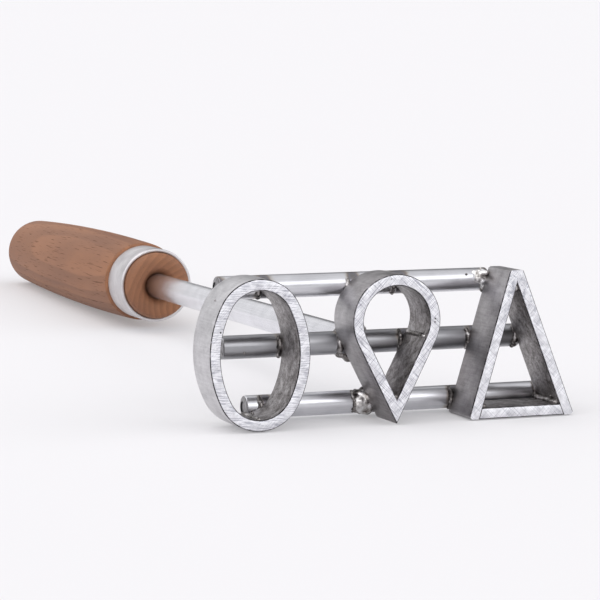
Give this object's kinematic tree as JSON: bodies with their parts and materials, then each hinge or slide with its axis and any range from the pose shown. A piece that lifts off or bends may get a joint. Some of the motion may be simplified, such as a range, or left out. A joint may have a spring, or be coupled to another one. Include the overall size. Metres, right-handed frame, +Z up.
{
  "type": "hot stamping tool",
  "caption": "Hand-held hot stamping tool for leather: open bar figures on cross rods, a long steel shank and a turned wooden handle with a ferrule.",
  "frame": {"origin": "bottom centre of the bounding box of the tool as it lies at rest on a level surface", "axes": "+X along the row of figures, +Y from the stamping faces towards the handle, +Z up; the tool lies 1.44 degrees nose up"},
  "size_m": [0.105, 0.3457, 0.0403],
  "materials": {
    "bar_steel": "satin flat bar, front faces ground bright with crossing scratches",
    "rod_steel": "smooth drawn round bar",
    "weld_metal": "bright lumpy weld metal with heat tint at its edge",
    "handle_wood": "turned hardwood, oiled",
    "ferrule_metal": "plain pale sleeve"
  },
  "bodies": {
    "root": {"oval_left_bar": "bar_steel", "oval_right_bar": "bar_steel", "drop_crown_bar": "bar_steel", "drop_left_bar": "bar_steel", "drop_right_bar": "bar_steel", "triangle_left_bar": "bar_steel", "triangle_right_bar": "bar_steel", "triangle_base_bar": "bar_steel", "oval_seam_welds": "weld_metal", "drop_seam_welds": "weld_metal", "triangle_corner_welds": "weld_metal", "top_rod": "rod_steel", "middle_rod": "rod_steel", "bottom_rod": "rod_steel", "top_rod_welds": "weld_metal", "middle_rod_welds": "weld_metal", "bottom_rod_welds": "weld_metal", "shank": "rod_steel", "shank_weld": "weld_metal", "handle": "handle_wood", "ferrule": "ferrule_metal"}
  },
  "joints": []
}
